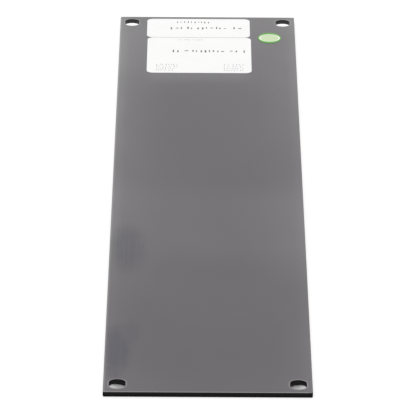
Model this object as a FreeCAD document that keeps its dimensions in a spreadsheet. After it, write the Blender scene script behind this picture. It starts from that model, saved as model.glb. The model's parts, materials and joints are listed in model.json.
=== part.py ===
"""Blanking panel for a 19 inch rack, two units high, with two paper labels and an oval sticker.

The panel lies on its back. X runs along its 19 inch length, Y across its height in the rack, and Z
out of its front face. The origin is the middle of the back face, which rests on the rack's rails.
Each sub-part is one PartDesign body that reads its sizes and its place from the spreadsheet. All
sizes are in millimetres.
"""

import FreeCAD, Part
import math
import os

import Sketcher

# alias: (value, what it is)
SIZES = {
    "panel_length": (482.6, "across a 19 inch rack, along X"),
    "panel_width": (88.1, "two rack units of 44.45, less clearance, along Y"),
    "panel_thickness": (2.2, "2 mm steel plate with its coat on both faces"),
    "corner_radius": (0.8, "the plate's four corners"),
    "rim_radius": (0.15, "every rim of the plate, front and back"),
    "slot_length": (10.0, "from end to end, along X"),
    "slot_width": (7.0, "clears the thread of an M6 screw"),
    "slot_end_inset": (8.75, "middle of a slot from the panel's end, for slots 465.1 apart"),
    "slot_side_inset": (5.95, "middle of a slot from the panel's side, for slots 76.2 apart"),
    "label_width": (51.8, "both paper labels, along Y"),
    "label_thickness": (0.1, "paper with its adhesive"),
    "label_corner_radius": (3.2, "die-cut corners of both labels"),
    "upper_label_height": (28.2, "along X"),
    "upper_label_offset": (-4.5, "its middle from the panel's middle, along Y"),
    "upper_label_margin": (3.4, "bare plate between the panel's end and the label"),
    "lower_label_height": (52.7, "along X"),
    "lower_label_offset": (-4.1, "its middle from the panel's middle, along Y"),
    "label_gap": (0.4, "bare plate between the labels"),
    "sticker_length": (15.8, "oval sticker, along X"),
    "sticker_width": (11.6, "oval sticker, along Y"),
    "sticker_thickness": (0.1, "vinyl with its adhesive"),
    "sticker_end_inset": (32.0, "middle of the sticker from the panel's end"),
    "sticker_gap": (3.6, "bare plate between the lower label and the sticker"),
}


def make_sheet(doc):
    """The spreadsheet, one size in each row: its name, its value and what it is."""
    sheet = doc.addObject("Spreadsheet::Sheet", "Sizes")
    for row, (alias, (value, note)) in enumerate(SIZES.items(), start=1):
        sheet.set(f"A{row}", alias)
        sheet.set(f"B{row}", str(value))
        sheet.set(f"C{row}", note)
        sheet.setAlias(f"B{row}", alias)
    doc.recompute()


def new_body(doc, label, x, y, z):
    """An empty body, placed by an expression for each axis."""
    body = doc.addObject("PartDesign::Body", label)
    body.Label = label
    body.setExpression("Placement.Base.x", x)
    body.setExpression("Placement.Base.y", y)
    body.setExpression("Placement.Base.z", z)
    return body


def origin_feature(body, role):
    """One of the body's own planes or axes, such as XY_Plane or X_Axis."""
    return next(item for item in body.Origin.OriginFeatures if item.Role == role)


def new_sketch(body, name):
    """An empty sketch on the body's own XY plane."""
    sketch = body.newObject("Sketcher::SketchObject", name)
    sketch.AttachmentSupport = [(origin_feature(body, "XY_Plane"), "")]
    sketch.MapMode = "FlatFace"
    return sketch


def dimension(sketch, name, expression, *constraint):
    """A named dimension of the sketch, driven by an expression."""
    index = sketch.addConstraint(Sketcher.Constraint(*constraint))
    sketch.renameConstraint(index, name)
    sketch.setExpression(f"Constraints.{name}", expression)


def draw_rectangle(sketch, length, width):
    """A rectangle with its middle on the sketch's origin. The first drawing is 4 by 2."""
    corners = [FreeCAD.Vector(x, y) for x, y in ((-2, -1), (2, -1), (2, 1), (-2, 1))]
    for start, end in zip(corners, corners[1:] + corners[:1]):
        sketch.addGeometry(Part.LineSegment(start, end))
    for line in range(4):
        sketch.addConstraint(Sketcher.Constraint("Coincident", line, 2, (line + 1) % 4, 1))
    for line, direction in enumerate(("Horizontal", "Vertical", "Horizontal", "Vertical")):
        sketch.addConstraint(Sketcher.Constraint(direction, line))
    sketch.addConstraint(Sketcher.Constraint("Symmetric", 0, 1, 1, 2, -1, 1))
    dimension(sketch, "Length", length, "DistanceX", 0, 1, 0, 2, 4.0)
    dimension(sketch, "Width", width, "DistanceY", 1, 1, 1, 2, 2.0)


def draw_slot(sketch, length, width, inset_x, inset_y):
    """A slot with round ends along X, its middle left of and below the origin by the insets.

    The first drawing has its ends' middles at -9 and -5 along X, at -5 along Y, with radius 1.
    """
    quarter = math.pi / 2
    normal = FreeCAD.Vector(0, 0, 1)
    outer_end = Part.Circle(FreeCAD.Vector(-9, -5), normal, 1)
    inner_end = Part.Circle(FreeCAD.Vector(-5, -5), normal, 1)
    sketch.addGeometry(Part.ArcOfCircle(outer_end, quarter, 3 * quarter))
    sketch.addGeometry(Part.LineSegment(FreeCAD.Vector(-9, -6), FreeCAD.Vector(-5, -6)))
    sketch.addGeometry(Part.ArcOfCircle(inner_end, -quarter, quarter))
    sketch.addGeometry(Part.LineSegment(FreeCAD.Vector(-5, -4), FreeCAD.Vector(-9, -4)))
    for edge in range(4):
        sketch.addConstraint(Sketcher.Constraint("Tangent", edge, 2, (edge + 1) % 4, 1))
    sketch.addConstraint(Sketcher.Constraint("Horizontal", 1))
    sketch.addConstraint(Sketcher.Constraint("Equal", 0, 2))
    straight = f"({length} - {width})"
    dimension(sketch, "EndRadius", f"{width} / 2", "Radius", 0, 1.0)
    dimension(sketch, "Straight", straight, "DistanceX", 0, 3, 2, 3, 4.0)
    dimension(sketch, "InsetX", f"{inset_x} - {straight} / 2", "DistanceX", 2, 3, -1, 1, 5.0)
    dimension(sketch, "InsetY", inset_y, "DistanceY", 2, 3, -1, 1, 5.0)


def draw_ellipse(sketch, length, width):
    """An ellipse with its middle on the sketch's origin. The first drawing is 4 by 2."""
    long_end = FreeCAD.Vector(2, 0)
    short_end = FreeCAD.Vector(0, 1)
    ellipse = sketch.addGeometry(Part.Ellipse(long_end, short_end, FreeCAD.Vector(0, 0)))
    sketch.exposeInternalGeometry(ellipse)
    long_axis = ellipse + 1
    short_axis = ellipse + 2
    sketch.addConstraint(Sketcher.Constraint("Coincident", ellipse, 3, -1, 1))
    sketch.addConstraint(Sketcher.Constraint("Horizontal", long_axis))
    dimension(sketch, "Length", length, "Distance", long_axis, 4.0)
    dimension(sketch, "Width", width, "Distance", short_axis, 2.0)


def raise_pad(body, name, sketch, thickness):
    """The sketch's outline as a sheet of the given thickness, towards +Z."""
    pad = body.newObject("PartDesign::Pad", name)
    pad.Profile = sketch
    pad.setExpression("Length", thickness)
    return pad


def round_over(body, name, base, edges, radius):
    """A fillet of the named edges, or of every edge of the named faces."""
    fillet = body.newObject("PartDesign::Fillet", name)
    fillet.Base = (base, edges)
    fillet.setExpression("Radius", radius)
    return fillet


def upright_edges(shape):
    """Names of the straight edges that run along Z."""
    names = []
    for number, edge in enumerate(shape.Edges, start=1):
        direction = edge.tangentAt(edge.FirstParameter)
        if isinstance(edge.Curve, Part.Line) and abs(direction.z) > 0.99:
            names.append(f"Edge{number}")
    return names


def level_faces(shape):
    """Names of the flat faces that look along Z, which are the front and the back."""
    names = []
    for number, face in enumerate(shape.Faces, start=1):
        if isinstance(face.Surface, Part.Plane) and abs(face.Surface.Axis.z) > 0.99:
            names.append(f"Face{number}")
    return names


def cut_slots(body, plate):
    """One slot through the plate near a corner, repeated near the other three."""
    outline = new_sketch(body, "SlotOutline")
    draw_slot(
        outline,
        length="Sizes.slot_length",
        width="Sizes.slot_width",
        inset_x="Sizes.panel_length / 2 - Sizes.slot_end_inset",
        inset_y="Sizes.panel_width / 2 - Sizes.slot_side_inset",
    )
    slot = body.newObject("PartDesign::Pocket", "Slot")
    slot.Profile = outline
    slot.Type = "ThroughAll"
    slot.Reversed = True
    body.Document.recompute()
    if slot.Shape.Volume >= plate.Shape.Volume:
        raise RuntimeError("the slot cuts nothing from the plate")

    pattern = body.newObject("PartDesign::LinearPattern", "FourSlots")
    pattern.Originals = [slot]
    pattern.Direction = (origin_feature(body, "X_Axis"), [""])
    pattern.Occurrences = 2
    pattern.setExpression("Length", "Sizes.panel_length - 2 * Sizes.slot_end_inset")
    pattern.Direction2 = (origin_feature(body, "Y_Axis"), [""])
    pattern.Occurrences2 = 2
    pattern.setExpression("Length2", "Sizes.panel_width - 2 * Sizes.slot_side_inset")
    body.Tip = pattern
    body.Document.recompute()
    return pattern


def make_panel(doc):
    """The flat steel plate with its four slots and its rims rounded."""
    body = new_body(doc, "blanking_panel", "0 mm", "0 mm", "0 mm")
    outline = new_sketch(body, "PanelOutline")
    draw_rectangle(outline, "Sizes.panel_length", "Sizes.panel_width")
    plate = raise_pad(body, "Plate", outline, "Sizes.panel_thickness")
    doc.recompute()
    edges = upright_edges(plate.Shape)
    corners = round_over(body, "Corners", plate, edges, "Sizes.corner_radius")
    doc.recompute()
    slots = cut_slots(body, corners)
    round_over(body, "Rims", slots, level_faces(slots.Shape), "Sizes.rim_radius")
    return body


def make_label(doc, label, start, height, offset):
    """A paper label on the front face, which starts at a distance from the panel's end."""
    middle = f"{start} + {height} / 2 - Sizes.panel_length / 2"
    body = new_body(doc, label, middle, offset, "Sizes.panel_thickness")
    outline = new_sketch(body, "LabelOutline")
    draw_rectangle(outline, height, "Sizes.label_width")
    paper = raise_pad(body, "Paper", outline, "Sizes.label_thickness")
    doc.recompute()
    edges = upright_edges(paper.Shape)
    round_over(body, "LabelCorners", paper, edges, "Sizes.label_corner_radius")
    return body


def make_labels(doc):
    """The two labels, one behind the other from the panel's end."""
    upper_start = "Sizes.upper_label_margin"
    lower_start = f"{upper_start} + Sizes.upper_label_height + Sizes.label_gap"
    upper = make_label(
        doc,
        "upper_label",
        upper_start,
        height="Sizes.upper_label_height",
        offset="Sizes.upper_label_offset",
    )
    lower = make_label(
        doc,
        "lower_label",
        lower_start,
        height="Sizes.lower_label_height",
        offset="Sizes.lower_label_offset",
    )
    return [upper, lower]


def make_sticker(doc):
    """The oval sticker on the front face, beside the lower label."""
    label_side = "Sizes.lower_label_offset + Sizes.label_width / 2"
    body = new_body(
        doc,
        "oval_sticker",
        "Sizes.sticker_end_inset - Sizes.panel_length / 2",
        f"{label_side} + Sizes.sticker_gap + Sizes.sticker_width / 2",
        "Sizes.panel_thickness",
    )
    outline = new_sketch(body, "StickerOutline")
    draw_ellipse(outline, "Sizes.sticker_length", "Sizes.sticker_width")
    raise_pad(body, "Vinyl", outline, "Sizes.sticker_thickness")
    return body


def check(doc, bodies):
    """Stops if an object of the document failed or a body isn't one valid solid."""
    for item in doc.Objects:
        if "Invalid" in item.State or "Error" in item.State:
            raise RuntimeError(f"{item.Name} failed: {item.State}")
    for body in bodies:
        shape = body.Shape
        if shape.isNull() or not shape.isValid() or len(shape.Solids) != 1:
            raise RuntimeError(f"{body.Label} isn't one valid solid")


def export(bodies):
    """One STEP file for each body, named by its label."""
    os.makedirs("parts", exist_ok=True)
    for body in bodies:
        body.Shape.exportStep(f"parts/{body.Label}.step")
        box = body.Shape.optimalBoundingBox(False)
        size = f"{box.XLength:.2f} x {box.YLength:.2f} x {box.ZLength:.2f} mm"
        print(f"{body.Label}: {size}, {body.Shape.Volume:.1f} mm3")


def main():
    """Builds the document and writes its parts."""
    doc = FreeCAD.newDocument("BlankingPanel")
    make_sheet(doc)
    bodies = [make_panel(doc), *make_labels(doc), make_sticker(doc)]
    doc.recompute()
    check(doc, bodies)
    export(bodies)


main()
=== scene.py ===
"""Looks for the rack blanking panel: a black coated steel plate with two paper labels and a sticker.

The plate lies on its back on a white floor. X runs along it, from the labelled end at low X to the
bare end at high X, and its front face looks up. Colours are linear. Materials and print are laid out
in millimetres in that frame, and all the rest in metres.

Tables of numbers stand above the functions that use them. A step is what Graph.ramp takes: where a
smooth step starts and ends, and its values there, which are 0 and 1 where they are left out. A
texture is what Graph.texture takes, and a bump is the distance and strength that Graph.bump takes.
"""

import json
import math
import random

import bmesh
import bpy
from mathutils import Matrix, Vector


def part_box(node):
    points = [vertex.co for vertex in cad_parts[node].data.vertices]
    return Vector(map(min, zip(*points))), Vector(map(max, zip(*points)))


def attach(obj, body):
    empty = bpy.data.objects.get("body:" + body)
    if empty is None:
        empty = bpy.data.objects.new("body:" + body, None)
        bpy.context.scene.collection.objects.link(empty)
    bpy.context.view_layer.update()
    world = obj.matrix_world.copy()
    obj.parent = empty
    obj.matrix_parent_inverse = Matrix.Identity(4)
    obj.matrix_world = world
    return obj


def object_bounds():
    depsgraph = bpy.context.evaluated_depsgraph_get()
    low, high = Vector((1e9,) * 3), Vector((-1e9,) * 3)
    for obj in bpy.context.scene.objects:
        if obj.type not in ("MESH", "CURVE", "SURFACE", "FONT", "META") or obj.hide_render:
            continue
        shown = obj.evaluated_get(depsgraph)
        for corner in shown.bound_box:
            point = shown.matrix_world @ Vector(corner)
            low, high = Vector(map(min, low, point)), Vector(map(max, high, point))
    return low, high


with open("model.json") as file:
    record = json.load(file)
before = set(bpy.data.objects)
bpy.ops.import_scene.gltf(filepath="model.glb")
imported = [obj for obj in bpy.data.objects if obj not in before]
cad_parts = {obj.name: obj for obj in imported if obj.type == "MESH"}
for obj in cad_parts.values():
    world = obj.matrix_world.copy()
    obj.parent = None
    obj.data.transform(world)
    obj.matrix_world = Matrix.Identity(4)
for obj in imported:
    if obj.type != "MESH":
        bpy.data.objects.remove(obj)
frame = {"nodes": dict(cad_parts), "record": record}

CAD_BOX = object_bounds()
MM = 0.001
WHITE = (1.0, 1.0, 1.0, 1.0)


class Graph:
    """A material's or the world's node tree, with short calls that add a node and return its output."""

    def __init__(self, tree):
        self.tree = tree
        self.tree.nodes.clear()

    def add(self, kind, inputs=None, output=0, **settings):
        node = self.tree.nodes.new(kind)
        for name, value in settings.items():
            setattr(node, name, value)
        for key, value in (inputs or {}).items():
            if isinstance(value, bpy.types.NodeSocket):
                self.tree.links.new(value, node.inputs[key])
            else:
                node.inputs[key].default_value = value
        return node.outputs[output] if node.outputs else None

    def math(self, operation, *values, clamp=False):
        inputs = dict(enumerate(values))
        return self.add("ShaderNodeMath", inputs, operation=operation, use_clamp=clamp)

    def total(self, first, *others):
        for other in others:
            first = self.math("ADD", first, other)
        return first

    def product(self, first, *others):
        for other in others:
            first = self.math("MULTIPLY", first, other)
        return first

    def difference(self, first, second):
        return self.math("SUBTRACT", first, second)

    def absolute(self, value):
        return self.math("ABSOLUTE", value)

    def length(self, x, y):
        return self.math("SQRT", self.total(self.product(x, x), self.product(y, y)))

    def split(self, vector):
        node = self.tree.nodes.new("ShaderNodeSeparateXYZ")
        self.tree.links.new(vector, node.inputs[0])
        return node.outputs

    def stretch(self, vector, scale):
        return self.add("ShaderNodeVectorMath", {0: vector, 1: scale}, operation="MULTIPLY")

    def place(self):
        """Place on the object in millimetres, in the row's frame."""
        return self.stretch(self.add("ShaderNodeTexCoord", output="Object"), (1 / MM, 1 / MM, 1 / MM))

    def ramp(self, value, start, end, first=0.0, last=1.0):
        """A smooth step from first, where value is start, to last, where it is end. Each holds beyond."""
        inputs = {"Value": value, "From Min": start, "From Max": end, "To Min": first, "To Max": last}
        return self.add("ShaderNodeMapRange", inputs, interpolation_type="SMOOTHSTEP")

    def texture(self, place, scale_xy, scale, detail, roughness):
        """Noise with its place scaled along X and Y first: under 1 draws it out, over 1 shortens it."""
        scaled = self.stretch(place, (*scale_xy, 1.0))
        inputs = {"Vector": scaled, "Scale": scale, "Detail": detail, "Roughness": roughness}
        return self.add("ShaderNodeTexNoise", inputs)

    def mix(self, factor, first, second, blend="MIX"):
        inputs = {0: factor, 6: first, 7: second}
        return self.add("ShaderNodeMix", inputs, output=2, data_type="RGBA", blend_type=blend)

    def toned(self, color, tone):
        """The color, paler where tone is over 1 and darker where it is under."""
        return self.mix(1.0, color, tone, blend="MULTIPLY")

    def bump(self, height, distance, strength, normal=None):
        inputs = {"Height": height, "Distance": distance, "Strength": strength}
        if normal is not None:
            inputs["Normal"] = normal
        return self.add("ShaderNodeBump", inputs)

    def surface(self, color, roughness, normal, ior):
        """The surface shader, linked to the material's output."""
        inputs = {"Base Color": color, "Roughness": roughness, "Normal": normal, "IOR": ior}
        shader = self.add("ShaderNodeBsdfPrincipled", inputs)
        self.add("ShaderNodeOutputMaterial", {"Surface": shader})


def new_material(name):
    material = bpy.data.materials.new(name)
    material.use_nodes = True
    return material, Graph(material.node_tree)


# The coat on the faces, and painted shade on the plate's edges and the slots' walls, a near-black colour.
# A step on how level a surface lies finds the walls, and a step on its height finds the front.
COAT_BLACK = (0.039, 0.031, 0.039, 1.0)
WALL_PAINTED_SHADE = (0.003, 0.0026, 0.003, 1.0)
COAT_IOR = 1.5
WALL_STEP = (0.96, 0.6)
FRONT_STEP = (1.0, 1.6)

# The coat's textures, and steps on them for its tone, painted sheen and roughness.
CLOUDS = ((0.5, 1.0), 0.022, 2.0, 0.45)
CLOUDS_TONE = (0.3, 0.7, 0.9, 1.1)
CLOUDS_SHEEN = (0.3, 0.7, 0.85, 1.15)
RUBBING = ((0.012, 1.0), 1.3, 4.0, 0.65)
RUBBING_TONE = (0.25, 0.75, 0.9, 1.1)
RUBBING_ROUGHNESS = (0.3, 0.7, -0.015, 0.015)
GRAIN = ((1.0, 1.0), 2.2, 3.0, 0.6)
GRAIN_TONE = (0.2, 0.8, 0.9, 1.1)
GRAIN_ROUGHNESS = (0.2, 0.8, 0.28, 0.36)
GRAIN_BUMP = (0.006 * MM, 0.5)
PEEL = ((1.0, 1.0), 0.9, 2.0, 0.5)
PEEL_BUMP = (0.02 * MM, 0.35)

# Painted sheen, a painted reflection that pales the coat: its colour, and its strength along both sides,
# by the rims there, at the labelled end, in the corner there that is past the sticker, at the bare end,
# and in a faint band across.
PAINTED_SHEEN = (0.985, 1.0, 0.985, 1.0)
SIDE_SHEEN = 0.046
RIM_SHEEN = 0.022
LABEL_END_SHEEN = 0.041
CORNER_SHEEN = 0.03
BARE_END_SHEEN = 0.009
BAND_SHEEN = 0.014
# Where along the plate each end's sheen and the corner's start, and a step across for the corner's
# share. Then the band's middle, how far from there it is gone and is full, and a step across for it.
LABEL_END_START = -100.0
CORNER_START = -200.0
CORNER_ACROSS = (5.0, 28.0)
BARE_END_START = 195.0
BAND_MIDDLE = 47.0
BAND_SPAN = (60.0, 22.0)
BAND_ACROSS = (-35.0, 10.0, 0.6, 1.25)
# How fast the side sheen gathers outwards, and where the rim sheen starts and is full, both with the
# plate's side at 1. Then their share: a step along the plate to the labels, the values on the low and
# on the high Y side, where it drops towards the bare end, and a step across for what is left there.
SIDE_SHEEN_POWER = 3.0
RIM_SHEEN_SPAN = (0.86, 0.99)
SIDE_TO_LABELS = (-50.0, -140.0, 1.0, 1.4)
SIDE_LOW_TO_HIGH = (1.1, 0.7)
SIDE_DROP_SPAN = (150.0, 40.0)
SIDE_LEFT_AT_BARE_END = (-10.0, 35.0, 0.35, 0.75)

# A painted glow, pale and bluish, on the coat past the lower label's end: its colour and strength, how
# far past that end it is gone and is full, and the same for the label's sides.
LABEL_GLOW = (0.86, 0.91, 1.0, 1.0)
LABEL_GLOW_STRENGTH = 0.043
LABEL_GLOW_SPAN = (20.0, 1.0)
LABEL_GLOW_SIDE_SPAN = (3.0, -8.0)

# Dark bluish marks on the front: the middle, the reach along X and Y, the raggedness and the strength of
# each. Then their colour, how much of it the coat takes, and the roughness that they add.
DARK_BLUISH_MARKS = [
    ((78.0, -36.3), (37.0, 11.0), 0.35, 0.95),
    ((196.0, -39.2), (36.0, 8.0), 0.7, 1.25),
    ((177.0, -33.5), (20.0, 6.0), 0.6, 0.55),
]
MARK_COLOR = (0.014, 0.013, 0.034, 1.0)
MARK_STRENGTH = 0.7
MARK_ROUGHNESS = 0.05
# Where their outline fades in shares of the reach, the texture that makes it ragged, and the middle of
# that texture's values. Then steps on the rubbing, which streaks the marks, and on the distance from
# the plate's side, where they are fainter.
MARK_OUTLINE = (1.05, 0.35)
MARK_RAGS = ((1.0, 1.0), 0.12, 3.0, 0.6)
NOISE_MIDDLE = 0.5
MARK_STREAKS = (0.3, 0.65, 0.55, 1.0)
MARK_BY_SIDE = (0.0, 4.0, 0.5, 1.0)

# A painted highlight on the rims: its colour and strength, and steps on the distance from a rim, on the
# grain that breaks it up, and on the distances from the high Y side and from the bare end.
RIM_HIGHLIGHT_COLOR = (1.0, 0.97, 0.95, 1.0)
RIM_HIGHLIGHT_STRENGTH = 0.12
RIM_HIGHLIGHT_REACH = (1.1, 0.15)
RIM_HIGHLIGHT_BY_GRAIN = (0.25, 0.6, 0.6, 1.0)
RIM_HIGHLIGHT_BY_HIGH_SIDE = (2.0, 1.0, 1.0, 0.2)
RIM_HIGHLIGHT_BY_BARE_END = (2.0, 1.0, 1.0, 1.6)


def slot_distance(graph, x, y):
    """Distance outwards from the wall of the nearest of the four slots."""
    mounts = {mount["name"]: mount for mount in frame["record"]["mounts"]}
    dims = mounts["rack_slots"]["dims"]
    radius = dims["hole_r_mm"]
    straight = dims["slot_length_mm"] / 2 - radius
    off_x = graph.absolute(graph.difference(graph.absolute(x), dims["spacing_x_mm"] / 2))
    off_y = graph.difference(graph.absolute(y), dims["spacing_y_mm"] / 2)
    past_straight = graph.math("MAXIMUM", graph.difference(off_x, straight), 0.0)
    return graph.difference(graph.length(past_straight, off_y), radius)


def painted_side_sheen(graph, x, y, half):
    """Painted sheen that gathers towards both sides, most of all beside the labels."""
    outwards = graph.math("DIVIDE", graph.absolute(y), half.y)
    broad = graph.product(graph.math("POWER", outwards, SIDE_SHEEN_POWER), SIDE_SHEEN)
    by_rim = graph.ramp(outwards, *RIM_SHEEN_SPAN, 0.0, RIM_SHEEN)
    left_at_bare_end = graph.ramp(y, *SIDE_LEFT_AT_BARE_END)
    return graph.product(
        graph.total(broad, by_rim),
        graph.ramp(x, *SIDE_DROP_SPAN, left_at_bare_end, 1.0),
        graph.ramp(x, *SIDE_TO_LABELS),
        graph.ramp(y, -half.y, half.y, *SIDE_LOW_TO_HIGH),
    )


def painted_coat_sheen(graph, x, y, half):
    """How much painted sheen pales the coat: towards the sides, both ends, a corner, and in a band
    across.
    """
    label_end = graph.ramp(x, LABEL_END_START, -half.x, 0.0, LABEL_END_SHEEN)
    corner = graph.ramp(x, CORNER_START, -half.x, 0.0, CORNER_SHEEN)
    corner = graph.product(corner, graph.ramp(y, *CORNER_ACROSS))
    bare_end = graph.ramp(x, BARE_END_START, half.x, 0.0, BARE_END_SHEEN)
    from_band = graph.absolute(graph.difference(x, BAND_MIDDLE))
    band = graph.ramp(from_band, *BAND_SPAN, 0.0, BAND_SHEEN)
    band = graph.product(band, graph.ramp(y, *BAND_ACROSS))
    return graph.total(painted_side_sheen(graph, x, y, half), label_end, corner, bare_end, band)


def painted_label_glow(graph, x, y):
    """How much of the painted glow the coat takes past the lower label's end."""
    low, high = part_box("lower_label")
    middle, half = (low + high) / 2 / MM, (high - low) / 2 / MM
    past_end = graph.difference(x, high.x / MM)
    past_side = graph.difference(graph.absolute(graph.difference(y, middle.y)), half.y)
    painted_glow = graph.ramp(past_end, *LABEL_GLOW_SPAN, 0.0, LABEL_GLOW_STRENGTH)
    return graph.product(painted_glow, graph.ramp(past_side, *LABEL_GLOW_SIDE_SPAN))


def ragged_mark(graph, place, x, y, middle, reach, raggedness):
    """A mark with a ragged outline, 1 in its middle and 0 outside its reach along X and Y."""
    off_x = graph.math("DIVIDE", graph.difference(x, middle[0]), reach[0])
    off_y = graph.math("DIVIDE", graph.difference(y, middle[1]), reach[1])
    rags = graph.difference(graph.texture(place, *MARK_RAGS), NOISE_MIDDLE)
    ragged = graph.total(graph.length(off_x, off_y), graph.product(rags, raggedness))
    return graph.ramp(ragged, *MARK_OUTLINE)


def dark_bluish_marks(graph, place, x, y, half, rubbing):
    """All the dark bluish marks, streaked by the rubbing and fainter by the plate's sides."""
    marks = 0.0
    for middle, reach, raggedness, strength in DARK_BLUISH_MARKS:
        mark = graph.product(ragged_mark(graph, place, x, y, middle, reach, raggedness), strength)
        marks = graph.math("MAXIMUM", marks, mark)
    to_side = graph.difference(half.y, graph.absolute(y))
    return graph.product(marks, graph.ramp(rubbing, *MARK_STREAKS), graph.ramp(to_side, *MARK_BY_SIDE))


def painted_rim_highlight(graph, x, y, half, grain):
    """How strong the painted highlight is on the rims of the plate and of the slots."""
    to_end = graph.difference(half.x, graph.absolute(x))
    to_side = graph.difference(half.y, graph.absolute(y))
    to_outline = graph.math("MINIMUM", to_end, to_side)
    to_rim = graph.math("MINIMUM", to_outline, slot_distance(graph, x, y))
    return graph.product(
        graph.ramp(to_rim, *RIM_HIGHLIGHT_REACH),
        graph.ramp(grain, *RIM_HIGHLIGHT_BY_GRAIN),
        graph.ramp(graph.difference(half.y, y), *RIM_HIGHLIGHT_BY_HIGH_SIDE),
        graph.ramp(graph.difference(half.x, x), *RIM_HIGHLIGHT_BY_BARE_END),
        RIM_HIGHLIGHT_STRENGTH,
    )


def coat_material():
    """Black coat: orange peel, rubbing along the plate and dark bluish marks.

    It takes painted sheen, a painted glow past the lower label, a painted highlight on the rims and
    painted shade on the walls.
    """
    material, graph = new_material("panel_coat")
    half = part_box("blanking_panel")[1] / MM
    place = graph.place()
    x, y, z = graph.split(place)
    front = graph.ramp(z, *FRONT_STEP)
    normal_z = graph.split(graph.add("ShaderNodeNewGeometry", output="Normal"))[2]
    wall = graph.ramp(graph.absolute(normal_z), *WALL_STEP)
    clouds = graph.texture(place, *CLOUDS)
    rubbing = graph.texture(place, *RUBBING)
    grain = graph.texture(place, *GRAIN)

    tone = graph.product(
        graph.ramp(clouds, *CLOUDS_TONE),
        graph.ramp(rubbing, *RUBBING_TONE),
        graph.ramp(grain, *GRAIN_TONE),
    )
    # Painted sheen: painted reflection that pales the coat towards its sides, ends, a corner and a band.
    sheen = graph.product(painted_coat_sheen(graph, x, y, half), graph.ramp(clouds, *CLOUDS_SHEEN))
    # Painted light: a pale bluish glow on the front past the lower label's end.
    painted_glow = graph.product(painted_label_glow(graph, x, y), front)
    marks = dark_bluish_marks(graph, place, x, y, half, rubbing)
    marks = graph.math("MULTIPLY", marks, front, clamp=True)
    color = graph.toned(COAT_BLACK, tone)
    color = graph.mix(sheen, color, PAINTED_SHEEN)
    color = graph.mix(painted_glow, color, LABEL_GLOW)
    color = graph.mix(graph.product(marks, MARK_STRENGTH), color, MARK_COLOR)
    # Painted highlight: the rims of the plate and of the slots are paled.
    color = graph.mix(painted_rim_highlight(graph, x, y, half, grain), color, RIM_HIGHLIGHT_COLOR)
    # Painted shade: the plate's edges and the slots' walls take a near-black colour.
    color = graph.mix(wall, color, WALL_PAINTED_SHADE)

    roughness = graph.total(
        graph.ramp(grain, *GRAIN_ROUGHNESS),
        graph.ramp(rubbing, *RUBBING_ROUGHNESS),
        graph.product(marks, MARK_ROUGHNESS),
    )
    normal = graph.bump(graph.texture(place, *PEEL), *PEEL_BUMP)
    normal = graph.bump(grain, *GRAIN_BUMP, normal)
    graph.surface(color, roughness, normal, COAT_IOR)
    return material


# Label paper, its two textures, and steps on them.
PAPER_WHITE = (0.93, 0.93, 0.925, 1.0)
PAPER_IOR = 1.45
FIBRES = ((1.0, 1.6), 2.6, 4.0, 0.65)
FIBRES_TONE = (0.25, 0.75, 0.985, 1.0)
FIBRES_ROUGHNESS = (0.2, 0.8, 0.62, 0.74)
FIBRES_BUMP = (0.008 * MM, 0.4)
PAPER_CLOUDS = ((1.0, 1.0), 0.08, 2.0, 0.5)
PAPER_CLOUDS_TONE = (0.3, 0.7, 0.985, 1.0)

# The sticker's colours, how far the rim and the line inside it reach in from its edge along X and
# along Y, the step that softens an oval's edge, the vinyl's texture, and steps on that.
STICKER_GREEN = (0.59, 0.715, 0.435, 1.0)
STICKER_INNER_LINE = (0.86, 0.92, 0.80, 1.0)
STICKER_RIM = (0.075, 0.355, 0.004, 1.0)
STICKER_IOR = 1.45
STICKER_RIM_INSET = (2.3, 0.55)
STICKER_LINE_INSET = (2.7, 1.2)
OVAL_EDGE = (0.985, 1.015)
FLECK = ((1.0, 1.0), 3.0, 3.0, 0.6)
FLECK_TONE = (0.2, 0.8, 0.96, 1.0)
FLECK_ROUGHNESS = (0.2, 0.8, 0.36, 0.44)
FLECK_BUMP = (0.004 * MM, 0.4)

# Printer's inks, their texture, and steps on it.
INKS = {"dark": (0.10, 0.085, 0.10, 1.0), "faint": (0.42, 0.40, 0.42, 1.0)}
INK_IOR = 1.5
PATCHES = ((1.0, 1.0), 4.0, 2.0, 0.6)
PATCHES_TONE = (0.2, 0.8, 0.8, 1.2)
PATCHES_ROUGHNESS = (0.2, 0.8, 0.5, 0.6)
PATCHES_BUMP = (0.003 * MM, 0.3)


def paper_material():
    """White label paper with a soft fibre grain."""
    material, graph = new_material("label_paper")
    place = graph.place()
    fibres = graph.texture(place, *FIBRES)
    clouds = graph.texture(place, *PAPER_CLOUDS)
    tone = graph.product(graph.ramp(fibres, *FIBRES_TONE), graph.ramp(clouds, *PAPER_CLOUDS_TONE))
    roughness = graph.ramp(fibres, *FIBRES_ROUGHNESS)
    normal = graph.bump(fibres, *FIBRES_BUMP)
    graph.surface(graph.toned(PAPER_WHITE, tone), roughness, normal, PAPER_IOR)
    return material


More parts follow.
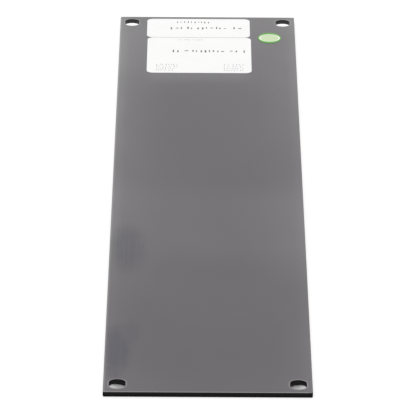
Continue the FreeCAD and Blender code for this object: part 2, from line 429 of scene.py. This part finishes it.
def sticker_material():
    """Pale green vinyl with a fine white line inside a green rim."""
    material, graph = new_material("sticker_vinyl")
    low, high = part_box("oval_sticker")
    middle, half = (low + high) / 2 / MM, (high - low) / 2 / MM
    place = graph.place()
    x, y, _ = graph.split(place)
    off_x = graph.difference(x, middle.x)
    off_y = graph.difference(y, middle.y)

    def outside(inset):
        """1 outside an oval that lies the insets along X and Y within the sticker's edge."""
        along_x = graph.math("DIVIDE", off_x, half.x - inset[0])
        along_y = graph.math("DIVIDE", off_y, half.y - inset[1])
        return graph.ramp(graph.length(along_x, along_y), *OVAL_EDGE)

    fleck = graph.texture(place, *FLECK)
    color = graph.toned(STICKER_GREEN, graph.ramp(fleck, *FLECK_TONE))
    color = graph.mix(outside(STICKER_LINE_INSET), color, STICKER_INNER_LINE)
    color = graph.mix(outside(STICKER_RIM_INSET), color, STICKER_RIM)
    roughness = graph.ramp(fleck, *FLECK_ROUGHNESS)
    normal = graph.bump(fleck, *FLECK_BUMP)
    graph.surface(color, roughness, normal, STICKER_IOR)
    return material


def ink_material(name, color):
    """Printer's ink, a little patchy."""
    material, graph = new_material(name)
    patches = graph.texture(graph.place(), *PATCHES)
    toned = graph.toned(color, graph.ramp(patches, *PATCHES_TONE))
    roughness = graph.ramp(patches, *PATCHES_ROUGHNESS)
    normal = graph.bump(patches, *PATCHES_BUMP)
    graph.surface(toned, roughness, normal, INK_IOR)
    return material


def dress_nodes():
    """The CAD nodes' own finishes."""
    coat, paper, vinyl = coat_material(), paper_material(), sticker_material()
    finishes = {"blanking_panel": coat, "upper_label": paper, "lower_label": paper, "oval_sticker": vinyl}
    for node, material in finishes.items():
        for material_slot in frame["nodes"][node].material_slots:
            material_slot.material = material


# The print: each piece's label, ink, random seed and rows. A row is the distance of its middle from
# the label's upper edge, its start and end from the label's left edge, and the height of its marks.
BLOCK_ROWS = [
    (down, start, end, 1.9)
    for down in (40.6, 43.4, 46.2, 49.0)
    for start, end in ((4.6, 14.5), (38.2, 48.0))
]
PRINT = {
    "upper_label_title": ("upper_label", "dark", 3, [(5.1, 15.0, 31.3, 2.6)]),
    "upper_label_line": ("upper_label", "dark", 5, [(14.1, 11.9, 47.0, 3.4)]),
    "lower_label_title": ("lower_label", "faint", 7, [(3.6, 15.5, 27.8, 1.8)]),
    "lower_label_line": ("lower_label", "dark", 11, [(20.6, 12.7, 50.3, 3.6)]),
    "lower_label_blocks": ("lower_label", "faint", 13, BLOCK_ROWS),
}
PRINT_THICKNESS = 0.02 * MM
# In shares of a row's height: the least and most width and height of a tick and of a dash, how far
# either may shift up or down, and the least and most gap after it. Odds are out of 1.
TICK = ((0.13, 0.22), (0.6, 1.0))
DASH = ((0.35, 0.55), (0.2, 0.3))
DASH_ODDS = 0.14
SHIFT = 0.15
CLOSE_GAP = (0.3, 0.55)
WIDE_GAP = (0.7, 1.2)
WIDE_GAP_ODDS = 0.25


def print_mesh(name, label, rows, seed):
    """Rows of plain ticks and dashes on a label's front, as one thin mesh."""
    low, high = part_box(label)
    draw = random.Random(seed)
    mesh = bmesh.new()
    for down, start, end, height in rows:
        across = start
        while across < end:
            widths, heights = DASH if draw.random() < DASH_ODDS else TICK
            width = height * draw.uniform(*widths)
            tall = height * draw.uniform(*heights)
            shift = height * draw.uniform(-SHIFT, SHIFT)
            middle = Vector((
                low.x + (down + shift) * MM,
                low.y + (across + width / 2) * MM,
                high.z + PRINT_THICKNESS / 2,
            ))
            size = Matrix.Diagonal((tall * MM, width * MM, PRINT_THICKNESS, 1.0))
            bmesh.ops.create_cube(mesh, size=1.0, matrix=Matrix.Translation(middle) @ size)
            gaps = WIDE_GAP if draw.random() < WIDE_GAP_ODDS else CLOSE_GAP
            across += width + height * draw.uniform(*gaps)
    data = bpy.data.meshes.new(name)
    mesh.to_mesh(data)
    mesh.free()
    return data


def add_print():
    """Generic print in place of the labels' own: no words, only ticks and dashes."""
    materials = {ink: ink_material(f"ink_{ink}", color) for ink, color in INKS.items()}
    for name, (label, ink, seed, rows) in PRINT.items():
        piece = bpy.data.objects.new(name, print_mesh(name, label, rows, seed))
        bpy.context.collection.objects.link(piece)
        piece.data.materials.append(materials[ink])
        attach(piece, "root")


# The floor's size and how far it lies below the plate. It is part paper and part plain white, and the
# lifts are the share of white beside the plate and under it.
FLOOR_SIZE = 80.0
FLOOR_DROP = 0.35 * MM
FLOOR_PAPER = (0.9, 0.9, 0.9, 1.0)
FLOOR_WHITE_STRENGTH = 1.12
FLOOR_LIFT = 0.7
FLOOR_LIFT_UNDER_PLATE = 0.98
# The shade under the plate: its colour, and steps on the distance outwards from the plate's outline,
# on the place along the plate, and on the distance outwards from its sides.
SHADE = (0.5, 0.5, 0.5, 1.0)
SHADE_STEP = (-0.5, -2.5)
SHADE_TO_BARE_END = (-200.0, 100.0)
SHADE_BY_SIDE = (-6.5, -2.5, 1.0, 0.7)
# Gloss sees the shade reach further out. Its grey there is a step on the distance from the outline.
GLOSS_REACH = 10.0
GLOSS_GREY = (-1.0, 1.0, 0.4, 0.12)


def light_path(graph):
    return graph.tree.nodes.new("ShaderNodeLightPath").outputs


def white_rays(graph):
    """1 for rays that see the background as such: from the camera, a gloss or a glass."""
    path = light_path(graph)
    seen = graph.math("MAXIMUM", path["Is Camera Ray"], path["Is Glossy Ray"])
    return graph.math("MAXIMUM", seen, path["Is Transmission Ray"])


def floor_material():
    """White paper floor. It looks white but keeps the plate's shadow.

    The slots at the plate's bare end show the shade under it, which is a little weaker by the plate's
    sides. Gloss sees it darker. From below the floor is clear both ways, so that the plate's back is
    seen in the studio's light.
    """
    material, graph = new_material("floor")
    x, y, _ = graph.split(graph.place())
    half = CAD_BOX[1] / MM
    path = light_path(graph)
    glossy = path["Is Glossy Ray"]
    past_end = graph.difference(graph.absolute(x), half.x)
    past_side = graph.difference(graph.absolute(y), half.y)
    past_plate = graph.math("MAXIMUM", past_end, past_side)

    under = graph.ramp(graph.difference(past_plate, graph.product(glossy, GLOSS_REACH)), *SHADE_STEP)
    by_side = graph.math("MAXIMUM", graph.ramp(past_side, *SHADE_BY_SIDE), glossy)
    shaded = graph.product(under, graph.ramp(x, *SHADE_TO_BARE_END), by_side)
    shade = graph.mix(glossy, SHADE, graph.ramp(past_plate, *GLOSS_GREY))
    lift = graph.ramp(under, 0.0, 1.0, FLOOR_LIFT, FLOOR_LIFT_UNDER_PLATE)
    share = graph.product(white_rays(graph), lift, graph.difference(1.0, shaded))
    paper = graph.add("ShaderNodeBsdfDiffuse", {"Color": graph.mix(shaded, FLOOR_PAPER, shade)})
    white = graph.add("ShaderNodeEmission", {"Color": WHITE, "Strength": FLOOR_WHITE_STRENGTH})
    top = graph.add("ShaderNodeMixShader", {0: share, 1: paper, 2: white})

    below = graph.add("ShaderNodeNewGeometry", output="Backfacing")
    came_through = graph.math("MINIMUM", path["Transparent Depth"], 1.0)
    from_below = graph.math("MAXIMUM", below, came_through)
    clear = graph.add("ShaderNodeBsdfTransparent")
    surface = graph.add("ShaderNodeMixShader", {0: from_below, 1: top, 2: clear})
    graph.add("ShaderNodeOutputMaterial", {"Surface": surface})
    return material


def add_floor():
    data = bpy.data.meshes.new("floor")
    half = FLOOR_SIZE / 2
    level = CAD_BOX[0].z - FLOOR_DROP
    corners = [(-half, -half, level), (half, -half, level), (half, half, level), (-half, half, level)]
    data.from_pydata(corners, [], [(0, 1, 2, 3)])
    floor = bpy.data.objects.new("floor", data)
    bpy.context.collection.objects.link(floor)
    floor.data.materials.append(floor_material())


# The studio's strength as light on matt surfaces, and the lamp.
STUDIO_ON_MATT = 0.88
KEY_PLACE = (-0.6, -0.8, 2.4)
KEY_SIZE = (2.0, 2.0)
KEY_WATTS = 14.0

# The camera, placed round a point on the plate. Angles are in degrees, lens and sensor in millimetres.
CAMERA_TARGET = Vector((21.9, 0.19, 0.0)) * MM
CAMERA_AZIMUTH = 89.837
CAMERA_ELEVATION = 21.168
CAMERA_ROLL = 0.371
CAMERA_DISTANCE = 2292.5 * MM
CAMERA_LENS = 431.7
SENSOR_WIDTH = 36.0


def add_world():
    """White studio, seen at full strength and a little dimmer as light on matt surfaces."""
    world = bpy.data.worlds.new("studio")
    world.use_nodes = True
    bpy.context.scene.world = world
    graph = Graph(world.node_tree)
    strength = graph.ramp(white_rays(graph), 0.0, 1.0, STUDIO_ON_MATT, 1.0)
    background = graph.add("ShaderNodeBackground", {"Color": WHITE, "Strength": strength})
    graph.add("ShaderNodeOutputWorld", {"Surface": background})


def add_key_lamp():
    """One soft square lamp that looks at the middle of the plate."""
    lamp = bpy.data.lights.new("key", "AREA")
    lamp.shape = "RECTANGLE"
    lamp.size, lamp.size_y = KEY_SIZE
    lamp.energy = KEY_WATTS
    holder = bpy.data.objects.new("key", lamp)
    bpy.context.collection.objects.link(holder)
    holder.location = KEY_PLACE
    holder.rotation_mode = "QUATERNION"
    holder.rotation_quaternion = (-Vector(KEY_PLACE)).to_track_quat("-Z", "Y")
    holder.visible_camera = False


def add_camera():
    """A long lens that looks along the plate from beyond its bare end."""
    azimuth, elevation = math.radians(CAMERA_AZIMUTH), math.radians(CAMERA_ELEVATION)
    back = Vector((
        math.sin(azimuth) * math.cos(elevation),
        -math.cos(azimuth) * math.cos(elevation),
        math.sin(elevation),
    ))
    right = (-back).cross(Vector((0.0, 0.0, 1.0))).normalized()
    up = back.cross(right)
    turn = Matrix((right, up, back)).transposed().to_4x4()
    data = bpy.data.cameras.new("camera")
    data.lens = CAMERA_LENS
    data.sensor_width = SENSOR_WIDTH
    data.clip_end = FLOOR_SIZE
    camera = bpy.data.objects.new("camera", data)
    bpy.context.collection.objects.link(camera)
    place = Matrix.Translation(CAMERA_TARGET + back * CAMERA_DISTANCE)
    camera.matrix_world = place @ turn @ Matrix.Rotation(math.radians(CAMERA_ROLL), 4, "Z")
    bpy.context.scene.camera = camera


dress_nodes()
add_print()
add_floor()
add_world()
add_key_lamp()
add_camera()
bpy.context.scene.view_settings.view_transform = "Standard"
